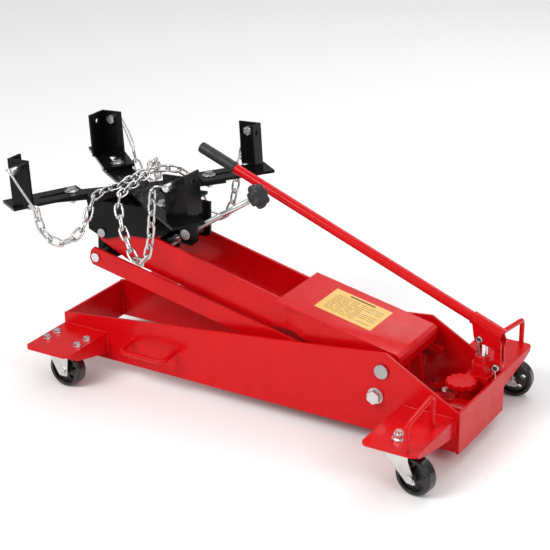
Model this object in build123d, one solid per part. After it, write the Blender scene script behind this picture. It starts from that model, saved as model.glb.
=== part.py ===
from build123d import *

import os
from math import atan2, cos, degrees, hypot, pi, radians, sin, tan

# Low-profile hydraulic transmission jack, in millimetres.
# Construction frame: x = 0 is the outer face of the rear cross plate and -x runs towards the saddle,
# y = 0 is the middle of the base (-y is the left side), z = 0 is the floor.
# write_node() moves every solid by ORIGIN_X, so that the finished jack is centred over its origin.

# ---- driving dimensions ----
ORIGIN_X = 504.65           # shift that centres the jack's length on x = 0

# base frame
BASE_LENGTH = 901.0
BASE_HALF_WIDTH = 101.0     # outer faces of the side plates
PLATE = 5.0                 # side plates, cross plates and wheel brackets
SIDE_BOTTOM = 30.0
FRONT_TOP = 112.0
REAR_TOP = 110.0
APEX = (-153.0, 194.0)      # highest corner of the side plates, over the lift pivot
INNER = BASE_HALF_WIDTH - PLATE
HANDLE_BAR_R = 5.0          # round bar of the carry and loop handles

# casters
WHEEL_R = 37.5
WHEEL_HALF = 13.0
HUB_HALF = 15.0
AXLE_R = 5.0
FORK_GAUGE = 2.5            # pressed steel of the caster forks
FORK_GAP = HUB_HALF + 0.6
FRONT_BRACKET_HALF = 236.0
FRONT_BRACKET_TOP = 89.0
FRONT_BRACKET_LENGTH = 109.0
FRONT_WHEEL_X = -831.0
FRONT_WHEEL_Y = 186.0
CASTER_PLATE = 3.0
CASTER_PLATE_X = (-893.0, -800.0)
CASTER_PLATE_Y = (-204.0, -128.0)
CASTER_BOLT_X = (-884.0, -808.0)
CASTER_BOLT_Y = (-182.0, -150.0)
CASTER_BOLT_R = 4.0
REAR_BRACKET_HALF = 264.0
REAR_BRACKET_TOP = 97.0
REAR_BRACKET_X = (-119.0, -9.0)
CASTER_X = -65.0            # swivel axis of the rear casters
CASTER_Y = 217.0
CASTER_TRAIL = 38.0
CASTER_TURN = 8.0           # degrees that the rear wheels are turned from straight back
REAR_CROWN = 81.0           # top of the swivelling forks
STEM_R = 6.0

# lift linkage: a parallelogram of the lift arm and two radius rods
PIVOT = (-160.0, 157.0)     # lift pivot, x and z
ROD_PIVOT = (-172.0, 104.0)
ARM_LENGTH = 671.0          # pivot to pivot
ARM_ANGLE = 11.8            # degrees above level, as modelled
ARM_HALF = 60.0             # outer faces of the arm's front plates
ARM_REAR_HALF = 80.0        # outer faces where the arm widens under the cover
ARM_PLATE = 6.0
ARM_PIN_R = 8.0
PIVOT_R = 12.5
ROD_HEIGHT = 38.0
ROD_INNER = 70.5            # inner and outer faces of the radius rods
ROD_OUTER = 76.5
ROD_PIN_R = 7.0
COVER_TOP = 32.0            # above the arm's axis
COVER_SPAN = (-24.0, 251.0)  # along the arm, from the pivot
COVER_GAUGE = 5.0
LEVER_LENGTH = 80.0         # lift pivot to lever roller
LEVER_LEAN = 10.9           # degrees behind straight down
LEVER_PLATE = 8.0
ROLLER_R = 12.0
ROLLER_PIN_R = 7.0

# hydraulic unit
BLOCK_TOP = 70.0
BLOCK_BOTTOM = 33.0
BLOCK_FRONT = -101.0
BLOCK_HALF = 95.8
HOUSING_R = 24.0            # round housing of the ram, part of the block
RAM_R = 15.0
RAM_Z = 60.0
RAM_LENGTH = 98.0
PUMP_X, PUMP_Y = -35.0, 72.0
PUMP_BASE = 112.0
PUMP_FLANGE_R = 19.5
PUMP_R = 14.5
PUMP_TOP = 148.0
PLUNGER_R = 10.0
PLUNGER_EYE = (-35.8, 186.6)    # pin that joins the socket to the plunger, x and z
LINK_FOOT = (-1.0, 135.0)       # lower pin of the socket links
SOCKET_PIVOT = (-1.0, 180.0)
PIN_R = 3.5
SOCKET_START = (4.0, 198.1)     # rear end of the handle's axis, x and z
SOCKET_LENGTH = 66.0
SOCKET_R = 12.6
HANDLE_ANGLE = 21.54
HANDLE_LENGTH = 718.0
HANDLE_R = 10.0
GRIP_R = 11.5
GRIP_LENGTH = 88.0
KNOB_X, KNOB_Y = -49.0, 11.0    # release knob's axis
KNOB_TOP = 117.5
KNOB_R = 30.0
STEM_SEAT = 81.5            # lower end of the release knob's stem, in the block

# saddle: its pieces are drawn in a frame whose origin is the middle of the cross plate
SADDLE_X = -766.0
SADDLE_Z = 384.6            # top of the slotted bars at the middle
SADDLE_PITCH = 3.1          # degrees, rear end up
HEAD_HALF = 67.0            # outer faces of the tilting head
HEAD_GAUGE = 6.0
HEAD_FRONT = -86.0
HEAD_REAR = 68.0
HEAD_TOP = -20.0
CARRIER_TOP = -6.0
CARRIER_GAUGE = 6.0
BAR_BOTTOM = -5.8
BAR_HALF = 33.0
BAR_BOLT_R = 5.0
BAR_WASHER_R = 14.0
BAR_INNER = 22.0            # clamp bolt to the bar's inner end
SLOT_HALF = 5.5
SLOT_TRAVEL = 62.0
UPRIGHT_LEG = 50.0
UPRIGHT_GAUGE = 5.0
HOLE_DROP = 17.0            # chain holes, below the upright's top
HOLE_IN = 27.0              # and from its corner
HOLE_R = 5.5

# each slotted bar: clamp bolt x and y, direction in degrees, bolt to outer end, lift above the carrier
BARS = {
    "front_left": (-107.8, -86.9, 239.0, 134.0, 0.0),
    "front_right": (-122.3, 89.2, 138.0, 148.0, 6.0),
    "rear_right": (99.3, 103.0, 50.8, 131.0, 0.0),
    "rear_left": (116.3, -86.7, -35.0, 138.0, 0.0),
}
# each upright: outer corner x and y, height, and the length of its leg along y
UPRIGHTS = {
    "front_left": (-163.0, -204.0, 97.0, 36.0),
    "front_right": (-201.0, 157.0, 97.0, 50.0),
    "rear_right": (166.0, 207.0, 90.0, 31.0),
    "rear_left": (212.0, -143.0, 84.0, 50.0),
}
PINNED = ("front_left", "rear_left")    # uprights with a plain pin; the others have a bolt

# tilt screw
SCREW_FOOT = (-695.6, 273.9)
SCREW_ANGLE = 33.05         # degrees above level
TRUNNION_AT = 66.3          # along the screw, from its foot pin
STAR_AT = 247.0
SCREW_R = 6.0
JOURNAL_R = 5.0
TRUNNION_R = 11.0

# chains: welded links, along routes given in the saddle's frame
LINK_WIRE_R = 2.5
LINK_HALF_WIDTH = 7.7       # to the wire's centre-line, as is the next one
LINK_END_R = 6.8
LINK_PITCH = 24.0
LINK_SLACK = 1.8            # play between two links
CHAIN_ROUTES = {
    "chain_left": [
        (-82, -230, 14), (-81, -227, -18), (-74, -221, -44), (-58, -209, -62), (-39, -190, -62),
        (-28, -166, -45), (-26, -142, -22), (-29, -122, 0), (-29, -100, 10), (-22, -63, 10), (-21, -14, 10),
        (-24, 34, 10), (-12, 70, 10), (12, 93, 9), (30, 110, -1), (42, 126, -26), (50, 137, -58),
        (55, 144, -86), (62, 151, -106), (76, 164, -114), (91, 177, -106), (98, 184, -86), (101, 193, -59),
        (102, 203, -33), (104, 213, -8), (106, 222, 18), (112, 229, 42), (122, 231, 60),
    ],
    "chain_right": [
        (163, -178, 64), (157, -177, 32), (152, -176, 1), (143, -174, -44), (133, -172, -71),
        (117, -168, -91), (98, -161, -97), (80, -153, -85), (63, -142, -62), (46, -132, -40),
        (34, -120, -19), (24, -108, 0), (18, -90, 10), (13, -60, 11), (8, -31, 11), (4, 8, 13),
        (-4, 44, 22), (-13, 70, 26), (-24, 96, 17), (-38, 117, -6), (-57, 136, -36), (-81, 151, -55),
        (-107, 163, -53), (-127, 169, -33), (-137, 171, -6), (-138, 172, 18),
    ],
}

RUN = 0.05                  # radial clearance of a pin in its hole
ROOT3 = 3 ** 0.5


# ---- small builders ----
def side_plate(points, y_from, y_to):
    """A flat plate whose outline lies in XZ, between two y values."""
    face = make_face(Polyline(*[(x, 0, z) for x, z in points], close=True))
    low = min(y_from, y_to)
    return Pos(0, low, 0) * extrude(face, amount=abs(y_to - y_from), dir=(0, 1, 0))


def flat_plate(points, z_from, z_to):
    """A flat plate whose outline lies in XY, between two z values."""
    face = make_face(Polyline(*[(x, y, 0) for x, y in points], close=True))
    return Pos(0, 0, z_from) * extrude(face, amount=z_to - z_from, dir=(0, 0, 1))


def flange_plate(x, points, thickness):
    """A flat plate whose outline of y and z values lies across the jack, from x towards +x."""
    face = make_face(Polyline(*[(x, y, z) for y, z in points], close=True))
    return extrude(face, amount=thickness, dir=(1, 0, 0))


def block(x, y, z):
    """A box given by its (low, high) limits on each axis."""
    size = [high - low for low, high in (x, y, z)]
    middle = [(high + low) / 2 for low, high in (x, y, z)]
    return Pos(*middle) * Box(*size)


def rod(start, end, radius):
    """A round bar from one point to another."""
    axis = Vector(*end) - Vector(*start)
    return extrude(Plane(origin=start, z_dir=axis) * Circle(radius), amount=axis.length)


def tube(start, end, radius, bore):
    return rod(start, end, radius) - rod(start, end, bore)


def hexagon(start, end, flats):
    """A six-sided prism, given its size across flats."""
    axis = Vector(*end) - Vector(*start)
    outline = RegularPolygon(flats / ROOT3, 6)
    return extrude(Plane(origin=start, z_dir=axis) * outline, amount=axis.length)


def upright_rod(x, y, z_from, z_to, radius):
    return rod((x, y, z_from), (x, y, z_to), radius)


def across(x, z, y_from, y_to, radius):
    """A round bar that lies across the jack, along y."""
    return rod((x, y_from, z), (x, y_to, z), radius)


def bent_bar(points, radius, bend):
    """A round bar that follows straight runs with an arc at each corner."""
    path = FilletPolyline(*points, radius=bend)
    return sweep(Plane(origin=path @ 0, z_dir=path % 0) * Circle(radius), path=path)


def hex_bolt(head, tip, radius, washer_r=None):
    """Bolt, nut and washers that clamp from the face at head to the face at tip."""
    head, tip = Vector(*head), Vector(*tip)
    way = (tip - head).normalized()
    washer = 1.6
    washer_r = washer_r or 2.1 * radius
    flats = 3.2 * radius
    head_face = head - way * washer
    nut_face = tip + way * washer
    nut_end = nut_face + way * 1.5 * radius
    bolt = hexagon(head_face, head_face - way * 1.3 * radius, flats)
    bolt += rod(head_face, nut_end + way * 3, radius - RUN)
    nut = hexagon(nut_face, nut_end, flats) - rod(nut_face, nut_end, radius)
    washers = [tube(head_face, head, washer_r, radius), tube(tip, nut_face, washer_r, radius)]
    return [bolt, nut, *washers]


def mirrored(pieces):
    """The same pieces on the right-hand side."""
    return [piece.mirror(Plane.XZ) for piece in pieces]


def both_sides(pieces):
    return pieces + mirrored(pieces)


# ---- the moving frames that parts are drawn in ----
def arm_point(along, above):
    """x and z of a point given along the arm's axis from the lift pivot, and above that axis."""
    lean = radians(ARM_ANGLE)
    x = PIVOT[0] - along * cos(lean) + above * sin(lean)
    z = PIVOT[1] + along * sin(lean) + above * cos(lean)
    return x, z


ARM_PIN = arm_point(ARM_LENGTH, 0)                      # saddle pin at the arm's front end
ROD_PIN = (ARM_PIN[0] + ROD_PIVOT[0] - PIVOT[0], ARM_PIN[1] + ROD_PIVOT[1] - PIVOT[1])


def rod_point(along, above):
    """Like arm_point(), but from the radius rods' rear pivot."""
    x, z = arm_point(along, above)
    return x + ROD_PIVOT[0] - PIVOT[0], z + ROD_PIVOT[1] - PIVOT[1]


def saddle_frame(piece):
    """Put a piece drawn about the cross plate's middle onto the tilted saddle."""
    return Pos(SADDLE_X, 0, SADDLE_Z) * Rot(0, -SADDLE_PITCH, 0) * piece


def outward(turn, distance, aside=0.0, start=(0.0, 0.0)):
    """x and y at a distance from a start point along a direction in degrees, and aside from it."""
    angle = radians(turn)
    x = start[0] + distance * cos(angle) - aside * sin(angle)
    y = start[1] + distance * sin(angle) + aside * cos(angle)
    return x, y


def along_screw(distance):
    """Point on the tilt screw's axis at a distance from its foot pin."""
    lean = radians(SCREW_ANGLE)
    return SCREW_FOOT[0] + distance * cos(lean), 0.0, SCREW_FOOT[1] + distance * sin(lean)


TRUNNION = (along_screw(TRUNNION_AT)[0], along_screw(TRUNNION_AT)[2])


def handle_line(distance):
    """Point on the handle's axis at a distance forward of the socket's rear end."""
    lean = radians(HANDLE_ANGLE)
    return SOCKET_START[0] - distance * cos(lean), PUMP_Y, SOCKET_START[1] + distance * sin(lean)


# ---- base frame ----
def base_side():
    """Left side plate, highest over the lift pivot."""
    outline = [
        (-BASE_LENGTH, SIDE_BOTTOM), (-PLATE, SIDE_BOTTOM), (-PLATE, REAR_TOP), APEX, (-BASE_LENGTH, FRONT_TOP),
    ]
    plate = side_plate(outline, -BASE_HALF_WIDTH, -INNER)
    plate -= across(*PIVOT, -BASE_HALF_WIDTH - 1, -INNER + 1, PIVOT_R)
    return plate - across(*ROD_PIVOT, -BASE_HALF_WIDTH - 1, -INNER + 1, ROD_PIN_R)


def front_cross_plate():
    x = -BASE_LENGTH
    return block((x, x + PLATE), (-INNER, INNER), (SIDE_BOTTOM, FRONT_TOP - 1))


def rear_cross_plate():
    """Plate across the rear end, with a sill under the hydraulic block."""
    bottom = SIDE_BOTTOM - 4
    plate = block((-PLATE, 0), (-BASE_HALF_WIDTH, BASE_HALF_WIDTH), (bottom, REAR_TOP))
    sill = block((-38, -PLATE), (-INNER, INNER), (bottom, SIDE_BOTTOM))
    return plate + sill


def caster_bolt_places():
    """The four bolts of the left front caster, x and y."""
    return [(x, y) for x in CASTER_BOLT_X for y in CASTER_BOLT_Y]


def front_bracket():
    """Channel that carries a front caster: top plate and two tapering flanges."""
    x0 = -BASE_LENGTH
    x1 = x0 + FRONT_BRACKET_LENGTH
    inner, outer = -BASE_HALF_WIDTH, -FRONT_BRACKET_HALF
    top = FRONT_BRACKET_TOP
    under = top - PLATE
    corner = 10
    plate = flat_plate(
        [(x0, inner), (x1, inner), (x1, outer + corner), (x1 - corner, outer), (x0 + corner, outer),
         (x0, outer + corner)], under, top)
    flange = [(inner, under), (inner, 44), (outer + 34, top - 22), (outer + corner, under - 4),
              (outer + corner, under)]
    for x in (x0, x1 - PLATE):
        plate += flange_plate(x, flange, PLATE)
    for x, y in caster_bolt_places():
        plate -= upright_rod(x, y, under - 1, top + 1, CASTER_BOLT_R)
    return plate


def rear_bracket():
    """Channel that carries a rear caster, round at its outer corners."""
    x0, x1 = REAR_BRACKET_X
    inner, outer = -BASE_HALF_WIDTH, -REAR_BRACKET_HALF
    top = REAR_BRACKET_TOP
    under = top - PLATE
    corner = 12
    plate = block((x0, x1), (outer, inner), (under, top))
    plate = fillet(plate.edges().filter_by(Axis.Z).group_by(Axis.Y)[0], corner)
    flange = [(inner, under), (inner, 60), (outer + 40, top - 17), (outer + corner, under - 4),
              (outer + corner, under)]
    for x in (x0, x1 - PLATE):
        plate += flange_plate(x, flange, PLATE)
    return plate - upright_rod(CASTER_X, -CASTER_Y, under - 1, top + 1, STEM_R)


def carry_handles():
    """Bent bars welded to the outside of the side plates, near the front."""
    reach = 44.0
    z = 86.0
    drop = 6.0
    x0, x1 = -729.0, -624.0
    y = -BASE_HALF_WIDTH
    points = [(x0, y, z), (x0, y - reach, z - drop), (x1, y - reach, z - drop), (x1, y, z)]
    bar = bent_bar(points, HANDLE_BAR_R, 12) - block((x0 - 10, x1 + 10), (y, 0), (z - 10, z + 10))
    return both_sides([bar])


def loop_handles():
    """Bent bars that stand on the rear brackets, lower at the outside."""
    x = -31.0
    foot = REAR_BRACKET_TOP
    inner, outer = -152.0, -257.0
    points = [(x, inner, foot), (x, inner, foot + 66), (x, outer, foot + 52), (x, outer, foot)]
    return both_sides([bent_bar(points, HANDLE_BAR_R, 10)])


# ---- casters ----
def wheel():
    """Black wheel with five holes about its own centre, axle along y."""
    tread = WHEEL_HALF - 4
    profile = [(10, -HUB_HALF), (11, -6), (27, -5), (29, -WHEEL_HALF + 1), (31, -WHEEL_HALF),
               (34.5, -WHEEL_HALF), (WHEEL_R, -tread)]
    bore = AXLE_R + 0.4
    outline = [(bore, -HUB_HALF), *profile, *[(r, -y) for r, y in reversed(profile)], (bore, HUB_HALF)]
    solid = revolve(make_face(Polyline(*outline, close=True)), axis=Axis.Y)
    for hole in range(5):
        x, z = outward(72 * hole + 18, 19.5)
        solid -= across(x, z, -10, 10, 5.2)
    return solid


def fork(top, crown_from, crown_to):
    """Pressed fork about the wheel's centre, its crown between two x values at the top."""
    foot = [(-11, -9), (-7, -12), (7, -12), (11, -9)]
    leg_outline = [*foot, (crown_to, top - 12), (crown_to, top), (crown_from, top), (crown_from, top - 8)]
    outer = FORK_GAP + FORK_GAUGE
    piece = side_plate(leg_outline, -outer, -FORK_GAP) + side_plate(leg_outline, FORK_GAP, outer)
    piece += block((crown_from, crown_to), (-outer, outer), (top - FORK_GAUGE, top))
    return piece - across(0, 0, -40, 40, AXLE_R)


def axle():
    """Axle bolt and its nut."""
    gap = FORK_GAP + FORK_GAUGE
    flats = 14
    bolt = across(0, 0, -gap, gap + 7, AXLE_R - RUN) + hexagon((0, -gap, 0), (0, -gap - 4.5, 0), flats)
    nut = hexagon((0, gap, 0), (0, gap + 5, 0), flats) - across(0, 0, gap, gap + 5, AXLE_R)
    return [bolt, nut]


def front_casters():
    """Rigid forks with their top plates and axles."""
    place = Pos(FRONT_WHEEL_X, -FRONT_WHEEL_Y, WHEEL_R)
    top = FRONT_BRACKET_TOP - PLATE
    plate = block(CASTER_PLATE_X, CASTER_PLATE_Y, (top - CASTER_PLATE, top))
    for x, y in caster_bolt_places():
        plate -= upright_rod(x, y, top - CASTER_PLATE - 1, top + 1, CASTER_BOLT_R)
    body = place * fork(top - CASTER_PLATE - WHEEL_R, -35, 14) + plate
    return both_sides([body, *[place * piece for piece in axle()]])


def caster_bolts():
    top = FRONT_BRACKET_TOP
    bottom = top - PLATE - CASTER_PLATE
    left = []
    for x, y in caster_bolt_places():
        left += hex_bolt((x, y, top), (x, y, bottom), CASTER_BOLT_R)
    return both_sides(left)


def rear_wheel_place():
    """Location of the left rear wheel's centre, with its axle along the local y."""
    return Pos(CASTER_X, -CASTER_Y, WHEEL_R) * Rot(0, 0, -CASTER_TURN) * Pos(CASTER_TRAIL, 0, 0)


def rear_fork():
    """Left swivelling fork with its raceway and axle."""
    head = fork(REAR_CROWN - WHEEL_R, -CASTER_TRAIL - 22, -CASTER_TRAIL + 32)
    stem_top = REAR_CROWN - WHEEL_R + 1
    head -= upright_rod(-CASTER_TRAIL, 0, 0, stem_top, STEM_R + RUN)
    race_height = 5
    race = Cone(21, 24, race_height, align=(Align.CENTER, Align.CENTER, Align.MIN))
    race = Pos(CASTER_X, -CASTER_Y, REAR_CROWN) * race
    race -= upright_rod(CASTER_X, -CASTER_Y, REAR_CROWN, REAR_CROWN + race_height, STEM_R + RUN)
    return [rear_wheel_place() * head, race, *[rear_wheel_place() * piece for piece in axle()]]


def caster_stems():
    """Fixed stems of the rear casters: collar, shank, washer and nut."""
    top = REAR_BRACKET_TOP
    x, y = CASTER_X, -CASTER_Y
    washer_top = top + 2
    nut_top = washer_top + 9
    foot = REAR_CROWN - FORK_GAUGE - 4
    stem = upright_rod(x, y, foot, nut_top + 6, STEM_R - RUN)
    stem += upright_rod(x, y, foot, foot + 3.5, 11)
    collar = upright_rod(x, y, REAR_CROWN + 5.4, top - PLATE, 23)
    collar -= upright_rod(x, y, REAR_CROWN + 5, top, STEM_R)
    washer = upright_rod(x, y, top, washer_top, 13) - upright_rod(x, y, top, washer_top, STEM_R)
    nut = hexagon((x, y, washer_top), (x, y, nut_top), 19) - upright_rod(x, y, top, nut_top + 1, STEM_R)
    return both_sides([stem, collar, washer, nut])


# ---- lift arm and radius rods ----
def arm_plate():
    """Left plate of the lift arm; it steps outwards where the arm passes under the cover."""
    corners = [(-45, -22), (-45, -8), (-17, -8), (-17, 20), (-10, 27), (258, 27), (655, 37), (686, 22),
               (690, -8), (676, -22), (602, -39), (262, -40), (205, -22)]
    slab = side_plate([arm_point(*corner) for corner in corners], -ARM_REAR_HALF - 1, -ARM_HALF + ARM_PLATE)
    narrow, wide = 232.0, 182.0
    front, rear = 720.0, -60.0
    inner = ARM_HALF - ARM_PLATE
    rear_inner = ARM_REAR_HALF - ARM_PLATE
    plan = [(front, -inner), (narrow, -inner), (wide, -rear_inner), (rear, -rear_inner),
            (rear, -ARM_REAR_HALF), (wide, -ARM_REAR_HALF), (narrow, -ARM_HALF), (front, -ARM_HALF)]
    lean = Pos(PIVOT[0], 0, PIVOT[1]) * Rot(0, ARM_ANGLE, 0)
    plate = slab & lean * flat_plate([(-u, y) for u, y in plan], -90, 90)
    plate -= across(*PIVOT, -90, -40, PIVOT_R + RUN)
    return plate - across(*ARM_PIN, -90, -40, ARM_PIN_R)


def arm_cover():
    """Folded cover over the wide rear of the arm, bent down at the rear end."""
    u0, u1 = COVER_SPAN
    top = COVER_TOP
    skirt = top - 32
    outline = [(u1, top - COVER_GAUGE), (u1, top), (u0 + 12, top), (u0 + 3.5, top - 3.5), (u0, top - 12),
               (u0, skirt), (u0 + COVER_GAUGE, skirt), (u0 + COVER_GAUGE, top - 13), (u0 + 7.5, top - 7.5),
               (u0 + 13, top - COVER_GAUGE)]
    return side_plate([arm_point(u, v) for u, v in outline], -ARM_REAR_HALF, ARM_REAR_HALF)


def arm_web():
    """Floor plate that ties the two arm plates together behind the saddle."""
    inner = ARM_HALF - ARM_PLATE
    low, high = -36, -30
    corners = [(262, low), (480, low), (480, high), (262, high)]
    return side_plate([arm_point(*corner) for corner in corners], -inner, inner)


def arm_front_shaft():
    """Shaft through the arm's front end that carries the saddle."""
    end = HEAD_HALF + 1.5
    cap = 2.5
    shaft = across(*ARM_PIN, -end, end, ARM_PIN_R - RUN)
    for y in (-end - cap, end):
        shaft += across(*ARM_PIN, y, y + cap, ARM_PIN_R + 1)
    return shaft


def lift_lever():
    """Cross tube round the lift pivot with two lever plates, and the roller that the ram pushes."""
    rear_inner = ARM_REAR_HALF - ARM_PLATE
    hub = tube((PIVOT[0], -rear_inner, PIVOT[1]), (PIVOT[0], rear_inner, PIVOT[1]), 16.5, PIVOT_R + RUN)
    lean = radians(LEVER_LEAN)
    tip = (PIVOT[0] + LEVER_LENGTH * sin(lean), PIVOT[1] - LEVER_LENGTH * cos(lean))

    def beside(point, distance):
        return point[0] + distance * cos(lean), point[1] + distance * sin(lean)

    outline = [beside(PIVOT, -16), beside(PIVOT, 16), beside(tip, 11), (tip[0] + 5, tip[1] - 10),
               (tip[0] - 5, tip[1] - 10), beside(tip, -11)]
    inner = 22.0
    for y in (-inner - LEVER_PLATE, inner):
        hub += side_plate(outline, y, y + LEVER_PLATE) - across(*PIVOT, -40, 40, PIVOT_R + RUN)
    hub -= across(*tip, -40, 40, ROLLER_PIN_R)
    pin_end = inner + LEVER_PLATE + 3
    pin = across(*tip, -pin_end, pin_end, ROLLER_PIN_R - RUN)
    roller_end = inner - 0.5
    roller = across(*tip, -roller_end, roller_end, ROLLER_R) - across(*tip, -roller_end, roller_end, ROLLER_PIN_R)
    return [hub, pin, roller]


def radius_rod():
    """Left radius rod: a flat bar with chamfered ends."""
    half = ROD_HEIGHT / 2
    span = ARM_LENGTH
    corners = [(-14, -half), (-20, -half + 8), (-20, half - 8), (-14, half), (span + 9, half),
               (span + 15, half - 9), (span + 15, -half + 11), (span + 6, -half)]
    bar = side_plate([rod_point(*corner) for corner in corners], -ROD_OUTER, -ROD_INNER)
    bar -= across(*ROD_PIVOT, -80, -60, ROD_PIN_R + RUN)
    return bar - across(*ROD_PIN, -80, -60, ROD_PIN_R + RUN)


def radius_rod_bolts():
    """Bolts, washers, spacers and nuts that hold the rear ends of the radius rods to the side plates."""
    x, z = ROD_PIVOT
    washer_face = -BASE_HALF_WIDTH - 2.5
    nut_end = -60
    bolt = across(x, z, washer_face, nut_end + 4, ROD_PIN_R - RUN)
    bolt += hexagon((x, washer_face, z), (x, washer_face - 10.5, z), 24)
    washer = tube((x, washer_face, z), (x, -BASE_HALF_WIDTH, z), 16, ROD_PIN_R)
    spacer = tube((x, -INNER, z), (x, -ROD_OUTER - 0.3, z), 13, ROD_PIN_R)
    nut = hexagon((x, -ROD_INNER + 0.3, z), (x, nut_end, z), 22) - across(x, z, -71, nut_end + 1, ROD_PIN_R)
    return both_sides([bolt, washer, spacer, nut])


def lift_pivot_shaft():
    end = BASE_HALF_WIDTH + 2
    cap = 3
    shaft = across(*PIVOT, -end, end, PIVOT_R - RUN)
    for y in (-end - cap, end):
        shaft += across(*PIVOT, y, y + cap, PIVOT_R + 1.5)
    return shaft


# ---- saddle bracket, tilting head and tilt screw ----
def saddle_bracket():
    """Level bracket between the arm plates; the radius rods keep it level."""
    outer, gauge = 52.0, 6.0
    inner = outer - gauge
    px, pz = ARM_PIN
    rx, rz = ROD_PIN
    outline = [(rx - 13, rz - 10), (rx - 8, rz - 15), (rx + 10, rz - 15), (px + 60, pz - 34), (px + 140, pz - 42),
               (px + 140, pz - 12), (px + 60, pz + 20), (px + 14, pz + 20), (px - 14, pz + 16), (px - 22, pz)]
    left = side_plate(outline, -outer, -inner)
    left -= across(px, pz, -60, -40, ARM_PIN_R + RUN)
    left -= across(rx, rz, -60, -40, ROD_PIN_R)
    tie = block((px + 30, px + 90), (-inner, inner), (pz + 13, pz + 19))
    fx, fz = SCREW_FOOT
    cradle = block((fx - 20, fx - 14), (-inner, inner), (fz - 20, fz + 8))
    bracket = left + left.mirror(Plane.XZ) + tie + cradle
    ear_outline = [(fx - 14, fz - 20), (fx + 8, fz - 16), (fx + 10, fz + 4), (fx + 4, fz + 8), (fx - 14, fz + 8)]
    for y in (-20.0, 14.0):
        bracket += side_plate(ear_outline, y, y + gauge) - across(fx, fz, -30, 30, 4)
    return bracket


def rod_pins():
    """Short pins and collars that join the radius rods to the saddle bracket."""
    x, z = ROD_PIN
    pin = across(x, z, -ROD_OUTER - 2, -46, ROD_PIN_R - RUN)
    pin += across(x, z, -ROD_OUTER - 4, -ROD_OUTER - 0.4, ROD_PIN_R + 2.5)
    collar = tube((x, -ROD_INNER + 0.4, z), (x, -52, z), 11, ROD_PIN_R)
    return both_sides([pin, collar])


def head_underside(x):
    """Height of the middle of the tilting head's top plate at x."""
    pitch = radians(SADDLE_PITCH)
    return SADDLE_Z + (x - SADDLE_X) * tan(pitch) + (HEAD_TOP - HEAD_GAUGE / 2) / cos(pitch)


def tilt_head():
    """Inverted channel that straddles the arm and rocks on the arm's front shaft."""
    tail = 50.0
    top = block((HEAD_FRONT, HEAD_REAR + tail), (-HEAD_HALF, HEAD_HALF), (HEAD_TOP - HEAD_GAUGE, HEAD_TOP))
    px, pz = ARM_PIN
    front, rear = px - 34, SADDLE_X + HEAD_REAR
    outline = [(front, pz + 2), (px, pz - 12), (px + 14, pz - 11), (px + 60, pz + 6), (rear, pz + 9),
               (rear, head_underside(rear)), (front, head_underside(front))]
    cheek = side_plate(outline, -HEAD_HALF, -HEAD_HALF + HEAD_GAUGE) - across(px, pz, -80, -50, ARM_PIN_R + RUN)
    head = saddle_frame(top) + cheek + cheek.mirror(Plane.XZ)
    tx, tz = TRUNNION
    ear_outline = [(tx - 20, head_underside(tx)), (tx - 15, tz - 6), (tx - 8, tz - 17), (tx + 14, tz - 18),
                   (tx + 26, tz - 12), (tx + 28, head_underside(tx))]
    for y in (-27.0, 21.0):
        head += side_plate(ear_outline, y, y + HEAD_GAUGE) - across(tx, tz, -40, 40, TRUNNION_R + 1.5)
    return head


def cross_plate():
    """Carrier of the four slotted bars: crossing arms with stiffeners, and a riser block."""
    arm_half, web_half, web_tip = 28.0, 24.0, 20.0
    arm_end, web_end = 172.0, 110.0
    solid = None
    riser = None
    low = CARRIER_TOP - CARRIER_GAUGE
    for bolt_x, bolt_y, turn, _, lift in BARS.values():
        way = degrees(atan2(bolt_y, bolt_x))
        corners = [outward(way, 0, -arm_half), outward(way, arm_end, -arm_half),
                   outward(way, arm_end, arm_half), outward(way, 0, arm_half)]
        arm = flat_plate(corners, low, CARRIER_TOP)
        arm += flat_plate([outward(way, 0, -web_half), outward(way, web_end, -web_tip),
                           outward(way, web_end, web_tip), outward(way, 0, web_half)], HEAD_TOP, low)
        hole = upright_rod(bolt_x, bolt_y, HEAD_TOP - 1, lift + 1, BAR_BOLT_R)
        solid = arm if solid is None else solid + arm
        solid -= hole
        if lift:
            start = (bolt_x, bolt_y)
            corners = [outward(turn, d, aside, start) for d, aside in ((-20, -28), (26, -28), (26, 28), (-20, 28))]
            riser = flat_plate(corners, CARRIER_TOP, CARRIER_TOP + lift) - hole
    return [saddle_frame(solid), saddle_frame(riser)]


def saddle_bar(name):
    """Slotted flat bar and the angle upright that is welded on its outer end."""
    bolt_x, bolt_y, turn, reach, lift = BARS[name]
    start = (bolt_x, bolt_y)

    def corners(near, far, half):
        return [outward(turn, d, aside, start) for d, aside in ((near, -half), (far, -half), (far, half),
                                                                (near, half))]

    bar = flat_plate(corners(-BAR_INNER, reach, BAR_HALF), BAR_BOTTOM, 0)
    slot = flat_plate(corners(-6, SLOT_TRAVEL, SLOT_HALF), BAR_BOTTOM - 1, 1)
    for distance in (-6, SLOT_TRAVEL):
        x, y = outward(turn, distance, 0, start)
        slot += upright_rod(x, y, BAR_BOTTOM - 1, 1, SLOT_HALF)
    x, y, height, leg_y = UPRIGHTS[name]
    sx = 1 if x > 0 else -1
    sy = 1 if y > 0 else -1
    gauge = UPRIGHT_GAUGE
    angle = flat_plate([(x, y), (x - sx * UPRIGHT_LEG, y), (x - sx * UPRIGHT_LEG, y - sy * gauge),
                        (x - sx * gauge, y - sy * gauge), (x - sx * gauge, y - sy * leg_y),
                        (x, y - sy * leg_y)], 0, height - lift)
    hole_z = height - lift - HOLE_DROP
    hole_y = y - sy * min(HOLE_IN, leg_y - 12)
    angle -= across(x - sx * HOLE_IN, hole_z, y - sy * 8, y + sy * 8, HOLE_R)
    angle -= rod((x + sx * 8, hole_y, hole_z), (x - sx * 8, hole_y, hole_z), HOLE_R)
    return [saddle_frame(Pos(0, 0, lift) * piece) for piece in (bar - slot, angle)]


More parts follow.
